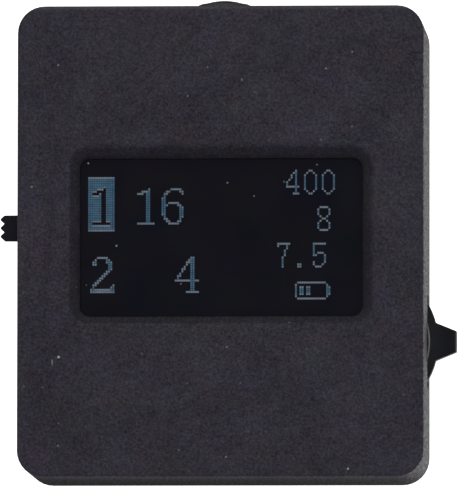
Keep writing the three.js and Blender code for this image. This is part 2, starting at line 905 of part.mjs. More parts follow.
// Battery with its leads up to the board

function batteryCell() {
  const levels = roundedLevels(batteryBottomZ, batteryBottomZ + batteryThickness, batteryEdge);
  const cell = softBlock(batteryWidth, batteryLength, batteryCorner, levels);
  return solidOf(cell.translate(0, batteryCentreY, 0));
}

function batteryLead(y) {
  const startX = batteryWidth / 2 + boreGap;
  const bendX = startX + leadReach;
  const startZ = batteryBottomZ + batteryThickness / 2;
  const endZ = boardBottomZ - boreGap;
  const route = new THREE.CubicBezierCurve3(
    new THREE.Vector3(startX, y, startZ),
    new THREE.Vector3(bendX, y, startZ),
    new THREE.Vector3(bendX, y, startZ),
    new THREE.Vector3(bendX, y, endZ),
  );
  const section = new THREE.Shape();
  for (let side = 0; side < leadSides; side += 1) {
    const angle = (2 * Math.PI * side) / leadSides;
    const corner = [leadRadius * Math.cos(angle), leadRadius * Math.sin(angle)];
    if (side === 0) section.moveTo(...corner);
    else section.lineTo(...corner);
  }
  section.closePath();
  return solidOf(new THREE.ExtrudeGeometry(section, {
    steps: leadSteps,
    bevelEnabled: false,
    extrudePath: route,
  }));
}

// Power switch

function switchFrame() {
  const outer = box(
    switchFrontX, switchRearX,
    switchCentreY - switchLength / 2, switchCentreY + switchLength / 2,
    switchBottomZ, boardBottomZ,
  );
  const inner = box(
    switchFrontX + switchSheet, switchRearX - switchSheet,
    switchCentreY - switchLength / 2 + switchSheet, switchCentreY + switchLength / 2 - switchSheet,
    switchBottomZ + switchSheet, boardBottomZ + overrun,
  );
  const reach = (knobWidth + sliderTravel) / 2 + slideGap;
  const knobWindow = box(
    switchFrontX - overrun, switchFrontX + switchDepth / 2,
    switchCentreY - reach, switchCentreY + reach,
    switchBottomZ + switchSheet, switchBaseZ,
  );
  return cut(outer, [inner, knobWindow]);
}

function switchBase() {
  const inset = switchSheet + slideGap;
  return box(
    switchFrontX + inset, switchRearX - inset,
    switchCentreY - switchLength / 2 + inset, switchCentreY + switchLength / 2 - inset,
    switchBaseZ, boardBottomZ,
  );
}

function powerSlider() {
  const inset = switchSheet + slideGap;
  const tipX = -bodyWidth / 2 - knobReach;
  const valleyX = tipX + toothDepth;
  const pitch = knobWidth / toothCount;
  const outline = new THREE.Shape();
  outline.moveTo(switchRearX - inset, -sliderBodyLength / 2);
  outline.lineTo(switchRearX - inset, sliderBodyLength / 2);
  outline.lineTo(switchFrontX + inset, sliderBodyLength / 2);
  outline.lineTo(switchFrontX + inset, knobWidth / 2);
  for (let tooth = 0; tooth < toothCount; tooth += 1) {
    const start = knobWidth / 2 - tooth * pitch;
    outline.lineTo(valleyX, start);
    outline.lineTo(tipX, start - pitch * toothRootShare);
    outline.lineTo(tipX, start - pitch * (1 - toothRootShare));
  }
  outline.lineTo(valleyX, -knobWidth / 2);
  outline.lineTo(switchFrontX + inset, -knobWidth / 2);
  outline.lineTo(switchFrontX + inset, -sliderBodyLength / 2);
  outline.closePath();
  const geometry = new THREE.ExtrudeGeometry(outline, {
    depth: sliderTopZ - sliderBottomZ,
    bevelEnabled: false,
  });
  return solidOf(geometry.translate(0, knobRestY, sliderBottomZ));
}

// Jog lever: housing under the board, sliding carriage with the pin, and the disc with its nub

function jogHousing() {
  const halfWidth = jogHousingWidth / 2;
  const rearX = -jogHousingReachBack;
  const plate = box(rearX, jogHousingReachFront, -halfWidth, halfWidth, jogPlateZ, boardBottomZ);
  const rails = [-1, 1].map((side) => {
    const inner = side * (halfWidth - jogRailWidth);
    const outer = side * halfWidth;
    return box(
      rearX, jogHousingReachFront,
      Math.min(inner, outer), Math.max(inner, outer),
      carriageBottomZ, boardBottomZ,
    );
  });
  const rear = box(rearX, rearX + jogRearWall, -halfWidth, halfWidth, carriageBottomZ, boardBottomZ);
  return join([plate, ...rails, rear]);
}

function jogCarriage() {
  const halfWidth = jogHousingWidth / 2 - jogRailWidth - slideGap;
  const plate = box(
    -carriageReachBack, carriageReachFront, -halfWidth, halfWidth, carriageBottomZ, jogPlateZ - slideGap,
  );
  return plate.add(rod(jogPinRadius, jogBottomZ - slideGap, jogPlateZ - slideGap));
}

function jogPinCap() {
  const top = jogBottomZ - slideGap;
  return rod(jogCapRadius, top - jogCapThickness, top);
}

function jogDisc() {
  const rootAngle = Math.asin(nubRootWidth / 2 / jogRadius);
  const tipX = jogRadius + nubReach;
  const outline = new THREE.Shape();
  outline.absarc(0, 0, jogRadius, rootAngle, 2 * Math.PI - rootAngle, false);
  outline.lineTo(tipX, -nubTipWidth / 2);
  outline.lineTo(tipX, nubTipWidth / 2);
  outline.closePath();
  const rimThickness = jogThickness - jogHubStep;
  const geometry = new THREE.ExtrudeGeometry(outline, {
    depth: rimThickness - 2 * jogEdge,
    bevelThickness: jogEdge,
    bevelSize: jogEdge,
    bevelOffset: -jogEdge,
    bevelSegments: 1,
    curveSegments: fineFacets,
  });
  const disc = solidOf(geometry.translate(0, 0, jogBottomZ + jogEdge));
  const hub = rod(jogHubRadius, jogBottomZ + rimThickness / 2, jogTopZ, 0, 0, fineFacets);
  const bore = rod(jogBoreRadius, jogBottomZ - overrun, jogTopZ + overrun);
  return disc.add(hub).subtract(bore);
}

// A bowed leaf that pushes the carriage back out
function jogLeaf() {
  const restX = -jogHousingReachBack + jogRearWall;
  const halfLength = leafLength / 2;
  const outline = new THREE.Shape();
  outline.moveTo(restX, -halfLength);
  outline.lineTo(restX + leafThickness, -halfLength);
  outline.quadraticCurveTo(restX + leafThickness + 2 * leafBow, 0, restX + leafThickness, halfLength);
  outline.lineTo(restX, halfLength);
  outline.quadraticCurveTo(restX + 2 * leafBow, 0, restX, -halfLength);
  const geometry = new THREE.ExtrudeGeometry(outline, {
    depth: jogPlateZ - slideGap - carriageBottomZ,
    bevelEnabled: false,
    curveSegments: cornerFacets,
  });
  return solidOf(geometry.translate(0, 0, carriageBottomZ));
}

// Light sensor

function sensorLens() {
  const wallY = cavityLength / 2;
  const rimY = bodyLength / 2 + collarReach;
  const domeRadius = (lensRadius ** 2 + lensDomeRise ** 2) / (2 * lensDomeRise);
  const profile = [
    [0, lensInnerY],
    [lensFlangeRadius, lensInnerY],
    [lensFlangeRadius, wallY],
    [lensRadius, wallY],
  ];
  for (let step = 0; step < cornerFacets; step += 1) {
    const radius = lensRadius * (1 - step / cornerFacets);
    profile.push([radius, rimY + Math.sqrt(domeRadius ** 2 - radius ** 2) - (domeRadius - lensDomeRise)]);
  }
  profile.push([0, rimY + lensDomeRise]);
  return turnedForward(profile);
}

function lightSensor() {
  const half = sensorChipSize / 2;
  return box(-half, half, sensorBoardFrontY, sensorChipFrontY, sensorZ - half, sensorZ + half);
}

function sensorBoard() {
  return box(
    -sensorBoardWidth / 2, sensorBoardWidth / 2,
    sensorBoardRearY, sensorBoardFrontY,
    sensorZ - sensorBoardHeight / 2, sensorZ + sensorBoardHeight / 2,
  );
}

function sensorHeader() {
  return box(
    -headerWidth / 2, headerWidth / 2,
    sensorBoardRearY - headerLength, sensorBoardRearY,
    boardTopZ, boardTopZ + headerHeight,
  );
}

// Assembly, from the foot upwards

addPart('shoe_foot', shoeFoot(), finishes.shoeMetal);
footScrewPlaces.forEach(([x, y], index) => {
  addPart(`foot_screw_${index + 1}`, footScrew(), finishes.steel, x, y);
});
addPart('foot_nut_plate', nutPlate(), finishes.steel);

addPart('back_shell', backShell(), finishes.nylon);
addPart('front_shell', frontShell(), finishes.nylon);
caseBossPlaces.forEach(([x, y], index) => {
  addPart(`case_screw_${index + 1}`, caseScrew(), finishes.blackSteel, x, y);
  addPart(`insert_${index + 1}`, insert(), finishes.brass, x, y);
});

const padWidth = batteryWidth - 2 * padMargin;
const padLength = batteryLength - 2 * padMargin;
addPart('battery_cell', batteryCell(), finishes.batteryFoil);
addPart('battery_pad', box(
  -padWidth / 2, padWidth / 2,
  batteryCentreY - padLength / 2, batteryCentreY + padLength / 2,
  floorZ, floorZ + padThickness,
), finishes.foam);
addPart('battery_lead_red', batteryLead(leadY), finishes.redWire);
addPart('battery_lead_black', batteryLead(leadY + leadPitch), finishes.blackWire);

addPart('main_board', mainBoard(), finishes.circuitBoard);
addPart('processor_chip', moulded(
  processorSize, processorSize, boardTopZ, boardTopZ + processorHeight,
), finishes.chip, processorX, processorY);
addPart('charger_chip', moulded(
  chargerSize, chargerSize, boardTopZ, boardTopZ + chargerHeight,
), finishes.chip, chargerX, chargerY);
addPart('regulator_chip', moulded(
  regulatorLength, regulatorWidth, boardTopZ, boardTopZ + regulatorHeight,
), finishes.chip, regulatorX, regulatorY);
addPart('crystal', moulded(
  crystalLength, crystalWidth, boardTopZ, boardTopZ + crystalHeight,
), finishes.steel, crystalX, crystalY);
addPart('inductor', moulded(
  inductorSize, inductorSize, boardTopZ, boardTopZ + inductorHeight,
), finishes.chip, inductorX, inductorY);
for (let index = 0; index < capacitorCount; index += 1) {
  addPart(`capacitor_${index + 1}`, moulded(
    capacitorWidth, capacitorLength, boardTopZ, boardTopZ + capacitorHeight,
  ), finishes.brass, capacitorX + index * capacitorPitch, capacitorY);
}
addPart('flex_connector', moulded(
  flexConnectorWidth, flexConnectorLength, boardTopZ, boardTopZ + flexConnectorHeight,
), finishes.blackPlastic, 0, flexConnectorFrontY + flexConnectorLength / 2);
addPart('port_shell', portShell(), finishes.steel);
addPart('port_insulator', portInsulator(), finishes.blackPlastic);

addPart('display_gasket', displayGasket(), finishes.foam);
addPart('display_cover_glass', glassSheet(coverGlassBottomY, coverGlassBottomZ), finishes.displayGlass);
addPart('display_substrate', glassSheet(glassBottomY, substrateBottomZ), finishes.displayGlass);
addPart('display_driver', box(
  -driverWidth / 2, driverWidth / 2,
  coverGlassBottomY - driverInset - driverLength, coverGlassBottomY - driverInset,
  coverGlassBottomZ, coverGlassBottomZ + driverHeight,
), finishes.chip);
addPart('display_flex', displayFlex(), finishes.flexFilm);
addPart('display_carrier', displayCarrier(), finishes.blackPlastic);

addPart('power_switch_frame', switchFrame(), finishes.steel);
addPart('power_switch_base', switchBase(), finishes.blackPlastic);
addPart('power_slider', powerSlider(), finishes.blackPlastic);

addPart('jog_housing', jogHousing(), finishes.blackPlastic, jogCentreX, jogCentreY);
addPart('jog_leaf_spring', jogLeaf(), finishes.steel, jogCentreX, jogCentreY);
addPart('jog_carriage', jogCarriage(), finishes.blackPlastic, jogCentreX, jogCentreY);
addPart('jog_pin_cap', jogPinCap(), finishes.steel, jogCentreX, jogCentreY);
addPart('jog_lever', jogDisc(), finishes.blackPlastic, jogCentreX, jogCentreY);

addPart('sensor_lens', sensorLens(), finishes.lensPlastic);
addPart('light_sensor', lightSensor(), finishes.chip);
addPart('sensor_board', sensorBoard(), finishes.circuitBoard);
addPart('sensor_header', sensorHeader(), finishes.blackPlastic);

export default meter;
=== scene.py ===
import json
import math

import bmesh
import bpy
from mathutils import Matrix, Vector


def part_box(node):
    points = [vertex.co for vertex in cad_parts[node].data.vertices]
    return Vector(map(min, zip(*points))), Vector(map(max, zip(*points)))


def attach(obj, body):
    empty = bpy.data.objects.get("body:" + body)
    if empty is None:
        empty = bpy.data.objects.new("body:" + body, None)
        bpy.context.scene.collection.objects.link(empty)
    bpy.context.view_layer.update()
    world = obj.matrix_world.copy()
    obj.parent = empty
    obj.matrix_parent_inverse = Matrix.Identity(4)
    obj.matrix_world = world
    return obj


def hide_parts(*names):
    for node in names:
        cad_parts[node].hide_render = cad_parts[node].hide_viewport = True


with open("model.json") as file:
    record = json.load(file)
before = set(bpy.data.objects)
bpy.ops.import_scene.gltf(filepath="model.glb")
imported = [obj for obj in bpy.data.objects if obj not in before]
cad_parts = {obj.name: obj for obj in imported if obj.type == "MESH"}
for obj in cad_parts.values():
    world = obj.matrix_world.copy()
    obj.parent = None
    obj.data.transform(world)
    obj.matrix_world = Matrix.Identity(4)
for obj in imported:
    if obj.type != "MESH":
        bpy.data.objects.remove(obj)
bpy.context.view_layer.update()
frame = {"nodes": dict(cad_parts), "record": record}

MM = 0.001
NODES = frame["nodes"]
BODY_OF = {node: body for body, nodes in frame["record"]["behaviour"]["bodies"].items() for node in nodes}
SLOT_OF = {part["node"]: part["material_slot"] for part in frame["record"]["subparts"]}

# The photograph's frame: its size in pixels, where the face's centre lies, and pixels to a millimetre
PHOTO_WIDTH_PX = 459
PHOTO_HEIGHT_PX = 488
FACE_CENTRE_PX = (220.2, 240.95)
PX_PER_MM = 13.134

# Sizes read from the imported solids
CASE_LOW, BACK_SHELL_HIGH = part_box("back_shell")
_, CASE_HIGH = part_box("front_shell")
FACE_Z = CASE_HIGH[2]
GLASS_LOW, GLASS_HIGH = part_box("display_cover_glass")
GLASS_CENTRE_Y = (GLASS_LOW[1] + GLASS_HIGH[1]) / 2
WALL_REAR_Y = CASE_LOW[1]
WALL_FRONT_Y = BACK_SHELL_HIGH[1]


# Shader maths written as Python expressions

# Places of a colour Mix node's sockets, which share their names with those of its other data types
MIX_SHARE = 0
MIX_LOW = 6
MIX_HIGH = 7
MIX_RESULT = 2


class Signal:
    """A value or colour in a material's node tree."""

    def __init__(self, tree, socket):
        self.tree = tree
        self.socket = socket

    def _math(self, operation, other, swapped=False):
        first, second = (other, self) if swapped else (self, other)
        node = self.tree.make("ShaderNodeMath", {"operation": operation}, {0: first, 1: second})
        return node.out("Value")

    def __add__(self, other):
        return self._math("ADD", other)

    def __radd__(self, other):
        return self._math("ADD", other, True)

    def __sub__(self, other):
        return self._math("SUBTRACT", other)

    def __rsub__(self, other):
        return self._math("SUBTRACT", other, True)

    def __mul__(self, other):
        return self._math("MULTIPLY", other)

    def __rmul__(self, other):
        return self._math("MULTIPLY", other, True)

    def __lt__(self, other):
        return self._math("LESS_THAN", other)

    def __abs__(self):
        return self._math("ABSOLUTE", 0.0)

    def smooth(self, low, high):
        """0 below low, 1 above high and a soft step between them."""
        settings = {"interpolation_type": "SMOOTHSTEP"}
        links = {"Value": self, "From Min": low, "From Max": high}
        return self.tree.make("ShaderNodeMapRange", settings, links).out("Result")


class Made:
    """A node just made, whose outputs are taken as signals."""

    def __init__(self, tree, node):
        self.tree = tree
        self.node = node

    def out(self, name):
        return Signal(self.tree, self.node.outputs[name])


class Finish:
    """A material with one Principled shader, and the ways to feed it."""

    def __init__(self, name, roughness, metallic=0.0, **constant):
        self.material = bpy.data.materials.new(name)
        self.material.use_nodes = True
        self.nodes = self.material.node_tree.nodes
        self.links = self.material.node_tree.links
        self.shader = self.nodes["Principled BSDF"]
        self.set("Roughness", roughness)
        self.set("Metallic", metallic)
        for socket, value in constant.items():
            self.set(socket.replace("_", " "), value)
        self.place = self.make("ShaderNodeTexCoord").out("Object")

    def make(self, kind, settings=None, values=None):
        node = self.nodes.new(kind)
        for key, value in (settings or {}).items():
            setattr(node, key, value)
        for key, value in (values or {}).items():
            self._feed(node.inputs[key], value)
        return Made(self, node)

    def _feed(self, socket, value):
        if isinstance(value, Signal):
            self.links.new(value.socket, socket)
        else:
            socket.default_value = value

    def set(self, socket, value):
        self._feed(self.shader.inputs[socket], value)

    def blend(self, share, low, high):
        """A colour between low and high."""
        values = {MIX_SHARE: share, MIX_LOW: low, MIX_HIGH: high}
        return self.make("ShaderNodeMix", {"data_type": "RGBA"}, values).out(MIX_RESULT)

    def times(self, first, second):
        """Two vectors or colours, multiplied part by part."""
        values = {0: first, 1: second}
        return self.make("ShaderNodeVectorMath", {"operation": "MULTIPLY"}, values).out("Vector")

    def noise(self, size, detail=2.0, roughness=0.5, stretch=None):
        """A 0 to 1 noise whose features are about size metres across."""
        place = self.place
        if stretch:
            place = self.times(place, stretch)
        values = {"Vector": place, "Scale": 1.0 / size, "Detail": detail, "Roughness": roughness}
        return self.make("ShaderNodeTexNoise", None, values).out("Fac")

    def wandering(self, colour, size, strength):
        """The colour, with each of its channels drifting by up to strength either way."""
        values = {"Vector": self.place, "Scale": 1.0 / size, "Detail": 1.0}
        drift = self.make("ShaderNodeTexNoise", None, values)
        gain = self.make("ShaderNodeVectorMath", {"operation": "MULTIPLY_ADD"}, {
            0: drift.out("Color"), 1: (2 * strength,) * 3, 2: (1 - strength,) * 3,
        }).out("Vector")
        return self.times(colour, gain)

    def specks(self, spacing, radius, share, stretch=(1.0, 1.0, 1.0)):
        """Specks of up to radius metres, on the given share of the cells spacing metres apart."""
        place = self.times(self.place, stretch)
        cells = self.make("ShaderNodeTexVoronoi", None, {"Vector": place, "Scale": 1.0 / spacing})
        near = cells.out("Distance") < radius / spacing
        draw = self.make("ShaderNodeSeparateColor", None, {"Color": cells.out("Color")}).out("Red")
        return near * (draw < share)

    def bump(self, height, depth, strength=1.0):
        values = {"Height": height, "Distance": depth, "Strength": strength}
        self.set("Normal", self.make("ShaderNodeBump", None, values).out("Normal"))


def grey(level):
    return (level, level, level, 1.0)


# Finishes

JOG_RIM_WIDTH = 0.62 * MM
THROAT_HALF_WIDTH = 13 * MM
THROAT_HALF_LENGTH = 9 * MM


def moulded_nylon():
    """Sintered nylon dyed dark grey: grained, mottled and dusty, with a painted highlight along the top front
    edge and on the sensor collar, and painted shade down the window's throat.
    """
    finish = Finish("moulded_nylon", 0.62, Sheen_Weight=0.05, Sheen_Roughness=0.5, Specular_IOR_Level=0.35)
    broad = finish.noise(3.4 * MM, 2.0)
    mottle = (0.45 * broad + 0.55 * finish.noise(0.75 * MM, 3.0, 0.6)).smooth(0.27, 0.73)
    streak = finish.noise(0.21 * MM, 2.0, 0.7, (1.0, 1.0, 0.3)).smooth(0.30, 0.70)
    grain = finish.noise(0.19 * MM, 2.0, 0.7)
    fibre = finish.noise(0.07 * MM, 1.0)
    base = finish.blend(mottle, (0.0130, 0.0110, 0.0182, 1), (0.0255, 0.0220, 0.0340, 1))
    pale = finish.blend(mottle, (0.040, 0.0352, 0.049, 1), (0.060, 0.0540, 0.074, 1))
    grained = finish.wandering(finish.blend(grain.smooth(0.33, 0.79), base, pale), 2.2 * MM, 0.15)
    place = finish.make("ShaderNodeSeparateXYZ", None, {"Vector": finish.place})
    height = place.out("Z")
    forward = place.out("Y")
    # Painted highlight: paler along the top of the front edge and on the sensor collar beyond it
    edge_highlight = forward.smooth(WALL_FRONT_Y - 0.55 * MM, WALL_FRONT_Y)
    edge_highlight = edge_highlight * edge_highlight * height.smooth(FACE_Z - 0.6 * MM, FACE_Z - 0.3 * MM)
    collar_highlight = forward.smooth(WALL_FRONT_Y + 0.02 * MM, WALL_FRONT_Y + 0.2 * MM)
    highlight_grey = (0.095, 0.090, 0.102, 1)
    grained = finish.blend(edge_highlight * 0.6 + collar_highlight * 0.8, grained, highlight_grey)
    beside_window = abs(place.out("X")) < THROAT_HALF_WIDTH
    beside_window = beside_window * (abs(forward - GLASS_CENTRE_Y) < THROAT_HALF_LENGTH)
    uneven = finish.noise(0.7 * MM, 3.0, 0.7) * (0.9 * MM)
    # Painted shade: darker down the window's throat towards the glass, with a patchy upper edge
    throat_shade = beside_window * (1.0 - (height + uneven).smooth(FACE_Z - 0.85 * MM, FACE_Z - 0.15 * MM))
    shade_black = (0.006, 0.005, 0.008, 1)
    grained = finish.blend(throat_shade * 0.6, grained, shade_black)
    dust = finish.specks(1.25 * MM, 0.085 * MM, 0.5) * finish.noise(0.5 * MM).smooth(0.3, 0.65)
    lint = finish.specks(1.3 * MM, 0.055 * MM, 0.16, (1.0, 0.22, 1.0))
    dust_grey = (0.22, 0.205, 0.20, 1)
    mote_pale = (0.48, 0.46, 0.44, 1)
    lint_grey = (0.24, 0.23, 0.23, 1)
    dusted = finish.blend(dust * 0.8, grained, dust_grey)
    motes = finish.specks(4.2 * MM, 0.10 * MM, 0.5)
    dusted = finish.blend(motes * 0.8, dusted, mote_pale)
    finish.set("Base Color", finish.blend(lint * 0.7, dusted, lint_grey))
    finish.set("Roughness", 0.36 + 0.56 * streak)
    finish.bump(grain * 0.7 + fibre * 0.3, 0.03 * MM, 0.55)
    return finish.material


def satin_black():
    """Smooth black moulding, faintly blue and a little cloudy, with fine mould texture."""
    level = 0.0105
    roughness = 0.42
    finish = Finish("satin_black", roughness, Specular_IOR_Level=0.12)
    cloud = finish.noise(1.1 * MM, 2.0)
    fine = finish.noise(0.05 * MM, 2.0)
    deep = (level * 0.95, level * 0.9, level * 1.55, 1)
    pale = (level * 1.5, level * 1.5, level * 2.3, 1)
    finish.set("Base Color", finish.blend(cloud, deep, pale))
    finish.set("Roughness", roughness - 0.06 + 0.14 * cloud)
    finish.bump(fine, 0.008 * MM, 0.4)
    return finish.material


def worn_and_rim_lit_black():
    """Black lever moulding, with a painted highlight on the ring round its hub, and rubbed pale along the tip
    of the nub.
    """
    finish = Finish("worn_and_rim_lit_black", 0.4, Specular_IOR_Level=0.12)
    cloud = finish.noise(0.9 * MM, 2.0)
    fine = finish.noise(0.06 * MM, 2.0)
    low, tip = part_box("jog_lever")
    cap_low, cap_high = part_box("jog_pin_cap")
    axis = (cap_low + cap_high) / 2
    split = finish.make("ShaderNodeSeparateXYZ", None, {"Vector": finish.place})
    across = split.out("X")
    flat = finish.make("ShaderNodeCombineXYZ", None, {"X": across, "Y": split.out("Y"), "Z": 0.0})
    ends = {0: flat.out("Vector"), 1: (axis[0], axis[1], 0.0)}
    span = finish.make("ShaderNodeVectorMath", {"operation": "DISTANCE"}, ends).out("Value")
    hub = axis[0] - low[0] - JOG_RIM_WIDTH
    # Painted highlight: a pale ring on the edge of the hub step
    rim_highlight = span.smooth(hub - 0.12 * MM, hub - 0.07 * MM) * (span < hub + 0.01 * MM)
    worn = across.smooth(tip[0] - 0.16 * MM, tip[0] - 0.02 * MM) * (0.6 + 0.4 * fine)
    inner = 1.0 - span.smooth(hub - 0.2 * MM, hub + 1.6 * MM)
    black = finish.blend(cloud, (0.0080, 0.0085, 0.0118, 1), (0.0102, 0.0108, 0.0150, 1))
    black = finish.blend(inner * (0.4 + 0.6 * cloud), black, (0.0300, 0.0308, 0.0360, 1))
    rim_highlighted = finish.blend(rim_highlight * 0.8, black, (0.34, 0.34, 0.36, 1))
    finish.set("Base Color", finish.blend(worn, rim_highlighted, (0.13, 0.125, 0.12, 1)))
    finish.set("Roughness", 0.34 + 0.16 * cloud)
    finish.bump(fine, 0.008 * MM, 0.4)
    return finish.material


def black_glass():
    """Display glass: black, faintly violet, with a few specks of dust on it."""
    finish = Finish("black_glass", 0.16, Specular_IOR_Level=0.5)
    haze = finish.noise(3.0 * MM, 2.0)
    dust = finish.specks(1.17 * MM, 0.07 * MM, 0.45) * finish.noise(0.4 * MM).smooth(0.3, 0.6)
    dark = finish.blend(haze, (0.0058, 0.0056, 0.0096, 1), (0.0070, 0.0062, 0.0118, 1))
    dark = finish.wandering(dark, 3.0 * MM, 0.35)
    finish.set("Base Color", finish.blend(dust, dark, (0.26, 0.25, 0.25, 1)))
    finish.set("Roughness", 0.12 + 0.08 * haze + 0.4 * dust)
    return finish.material


def lit_dot(name, dim, bright):
    """Light of the display's dots, a little uneven."""
    finish = Finish(name, 0.4)
    flicker = finish.noise(0.5 * MM, 1.0).smooth(0.3, 0.7)
    glow = finish.blend(flicker, dim, bright)
    finish.set("Base Color", (0.01, 0.02, 0.03, 1))
    finish.set("Emission Color", glow)
    finish.set("Emission Strength", 1.0)
    return finish.material


def smoked_lens():
    finish = Finish("smoked_lens", 0.08, IOR=1.49, Coat_Weight=0.4)
    swirl = finish.noise(0.8 * MM, 1.0)
    finish.set("Base Color", finish.blend(swirl, (0.016, 0.017, 0.020, 1), (0.024, 0.025, 0.029, 1)))
    finish.set("Roughness", 0.06 + 0.06 * swirl)
    return finish.material


def brushed_metal(name, colour, roughness, stretch=(0.03, 1.0, 1.0)):
    """Metal with brush marks drawn out along one direction."""
    finish = Finish(name, roughness, 1.0)
    marks = finish.noise(0.05 * MM, 2.0, 0.6, stretch)
    stain = finish.noise(4.0 * MM, 2.0)
    dull = tuple(0.78 * part for part in colour) + (1,)
    finish.set("Base Color", finish.blend(marks * 0.6 + stain * 0.4, dull, colour + (1,)))
    finish.set("Roughness", roughness - 0.08 + 0.2 * marks)
    finish.bump(marks, 0.004 * MM, 0.5)
    return finish.material


def blackened_steel():
    finish = Finish("blackened_steel", 0.4, 0.85)
    cloud = finish.noise(0.4 * MM, 2.0)
    finish.set("Base Color", finish.blend(cloud, grey(0.018), (0.045, 0.043, 0.042, 1)))
    finish.set("Roughness", 0.32 + 0.2 * cloud)
    return finish.material


def cell_foam():
    finish = Finish("cell_foam", 0.95)
    cells = finish.noise(0.12 * MM, 2.0)
    finish.set("Base Color", finish.blend(cells, grey(0.006), grey(0.018)))
    finish.bump(cells, 0.05 * MM, 0.8)
    return finish.material


def solder_mask():
    """Green lacquer over copper tracks."""
    finish = Finish("solder_mask", 0.35, Coat_Weight=0.3)
    tracks = finish.make("ShaderNodeTexVoronoi", {"feature": "DISTANCE_TO_EDGE"},
                         {"Vector": finish.place, "Scale": 1.0 / (1.6 * MM)}).out("Distance")
    track = 1.0 - tracks.smooth(0.04, 0.08)
    finish.set("Base Color", finish.blend(track, (0.008, 0.052, 0.026, 1), (0.016, 0.095, 0.045, 1)))
    finish.set("Roughness", 0.32 + 0.1 * finish.noise(1.0 * MM))
    finish.bump(track, 0.02 * MM, 0.6)
    return finish.material


def epoxy():
    finish = Finish("epoxy", 0.6)
    grain = finish.noise(0.06 * MM, 2.0)
    finish.set("Base Color", finish.blend(grain, grey(0.009), grey(0.018)))
    finish.bump(grain, 0.01 * MM, 0.5)
    return finish.material


def fired_ceramic():
    finish = Finish("fired_ceramic", 0.5)
    grain = finish.noise(0.15 * MM, 2.0)
    finish.set("Base Color", finish.blend(grain, (0.34, 0.21, 0.11, 1), (0.46, 0.31, 0.18, 1)))
    return finish.material


def amber_film():
    """Amber film with copper lines that run along the ribbon."""
    finish = Finish("amber_film", 0.3, Coat_Weight=0.5)
    across = finish.make("ShaderNodeSeparateXYZ", None, {"Vector": finish.place}).out("X")
    line_pitch = 0.5 * MM
    turns = across * (2 * math.pi / line_pitch)
    wave = finish.make("ShaderNodeMath", {"operation": "SINE"}, {0: turns}).out("Value")
    line = wave.smooth(-0.2, 0.2)
    finish.set("Base Color", finish.blend(line, (0.30, 0.12, 0.02, 1), (0.50, 0.24, 0.07, 1)))
    return finish.material


def foil_pouch():
    finish = Finish("foil_pouch", 0.35, 0.8)
    crinkle = finish.noise(1.6 * MM, 3.0)
    finish.set("Base Color", finish.blend(crinkle, grey(0.38), grey(0.5)))
    finish.bump(crinkle, 0.15 * MM, 0.35)
    return finish.material


def wire_cover(name, colour):
    finish = Finish(name, 0.4)
    scuff = finish.noise(0.3 * MM, 2.0)
    dark = tuple(0.7 * part for part in colour) + (1,)
    finish.set("Base Color", finish.blend(scuff, dark, colour + (1,)))
    finish.set("Roughness", 0.34 + 0.15 * scuff)
    return finish.material


FINISHES = {
    "body_nylon": moulded_nylon(),
    "black_plastic": satin_black(),
    "lens_plastic": smoked_lens(),
    "foot_metal": brushed_metal("brushed_foot", (0.34, 0.34, 0.35), 0.38, (1.0, 0.03, 1.0)),
    "steel": brushed_metal("plated_steel", (0.56, 0.56, 0.57), 0.28),
    "black_screw": blackened_steel(),
    "brass": brushed_metal("turned_brass", (0.62, 0.45, 0.20), 0.3),
    "display_glass": black_glass(),
    "foam": cell_foam(),
    "circuit_board": solder_mask(),
    "chip_black": epoxy(),
    "ceramic_tan": fired_ceramic(),
    "flex_film": amber_film(),
    "battery_foil": foil_pouch(),
    "wire_red": wire_cover("wire_red", (0.35, 0.012, 0.01)),
    "wire_black": wire_cover("wire_black", (0.012, 0.012, 0.013)),
}


# Pieces that take over a solid, with their edges broken

EDGE_SEGMENTS = 3
SHARP_DEGREES = 28
FLAT_DEGREES = 0.5
SAME_PLACE = 0.0005 * MM
FLAT_WEIGHT = 100


def put_on(piece, node, material=None):
    """The piece rides and is finished as the node that it stands for."""
    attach(piece, BODY_OF[node])
    piece.data.materials.clear()
    piece.data.materials.append(material or FINISHES[SLOT_OF[node]])


def softened(node, edge, material=None):
    """A copy of the node's mesh with its flats made whole and its sharp edges rounded."""
    mesh = NODES[node].data.copy()
    work = bmesh.new()
    work.from_mesh(mesh)
    bmesh.ops.remove_doubles(work, verts=work.verts, dist=SAME_PLACE)
    flat = math.radians(FLAT_DEGREES)
    bmesh.ops.dissolve_limit(work, angle_limit=flat, verts=work.verts, edges=work.edges)
    work.to_mesh(mesh)
    work.free()
    piece = bpy.data.objects.new(node + "_finished", mesh)
    bpy.context.scene.collection.objects.link(piece)
    bevel = piece.modifiers.new("edges", "BEVEL")
    bevel.width = edge
    bevel.segments = EDGE_SEGMENTS
    bevel.limit_method = "ANGLE"
    bevel.angle_limit = math.radians(SHARP_DEGREES)
    bevel.use_clamp_overlap = True
    flats = piece.modifiers.new("flats", "WEIGHTED_NORMAL")
    flats.mode = "FACE_AREA"
    flats.weight = FLAT_WEIGHT
    flats.keep_sharp = True
    for face in mesh.polygons:
        face.use_smooth = True
    put_on(piece, node, material)
    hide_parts(node)


SOFTENED = {
    "front_shell": 0.10 * MM,
    "back_shell": 0.07 * MM,
    "jog_lever": 0.05 * MM,
    "power_slider": 0.06 * MM,
    "shoe_foot": 0.06 * MM,
    "port_shell": 0.05 * MM,
}
for node, edge in SOFTENED.items():
    softened(node, edge, worn_and_rim_lit_black() if node == "jog_lever" else None)

for node, part in NODES.items():
    if node not in SOFTENED:
        part.data.materials.clear()
        part.data.materials.append(FINISHES[SLOT_OF[node]])


# Lit dots of the display

DISPLAY_COLUMNS = 128
DISPLAY_ROWS = 64
DOT_PITCH_X = 0.17 * MM
DOT_PITCH_Y = 0.1746 * MM
DOT_SHARE_X = 0.92
SIDE_DOT_SHARE_X = 0.80  # of a dot with no lit one to its left or right
DOT_SHARE_Y = 0.82
DOT_HEIGHT = 0.012 * MM
DISPLAY_CENTRE_Y = 0.51 * MM

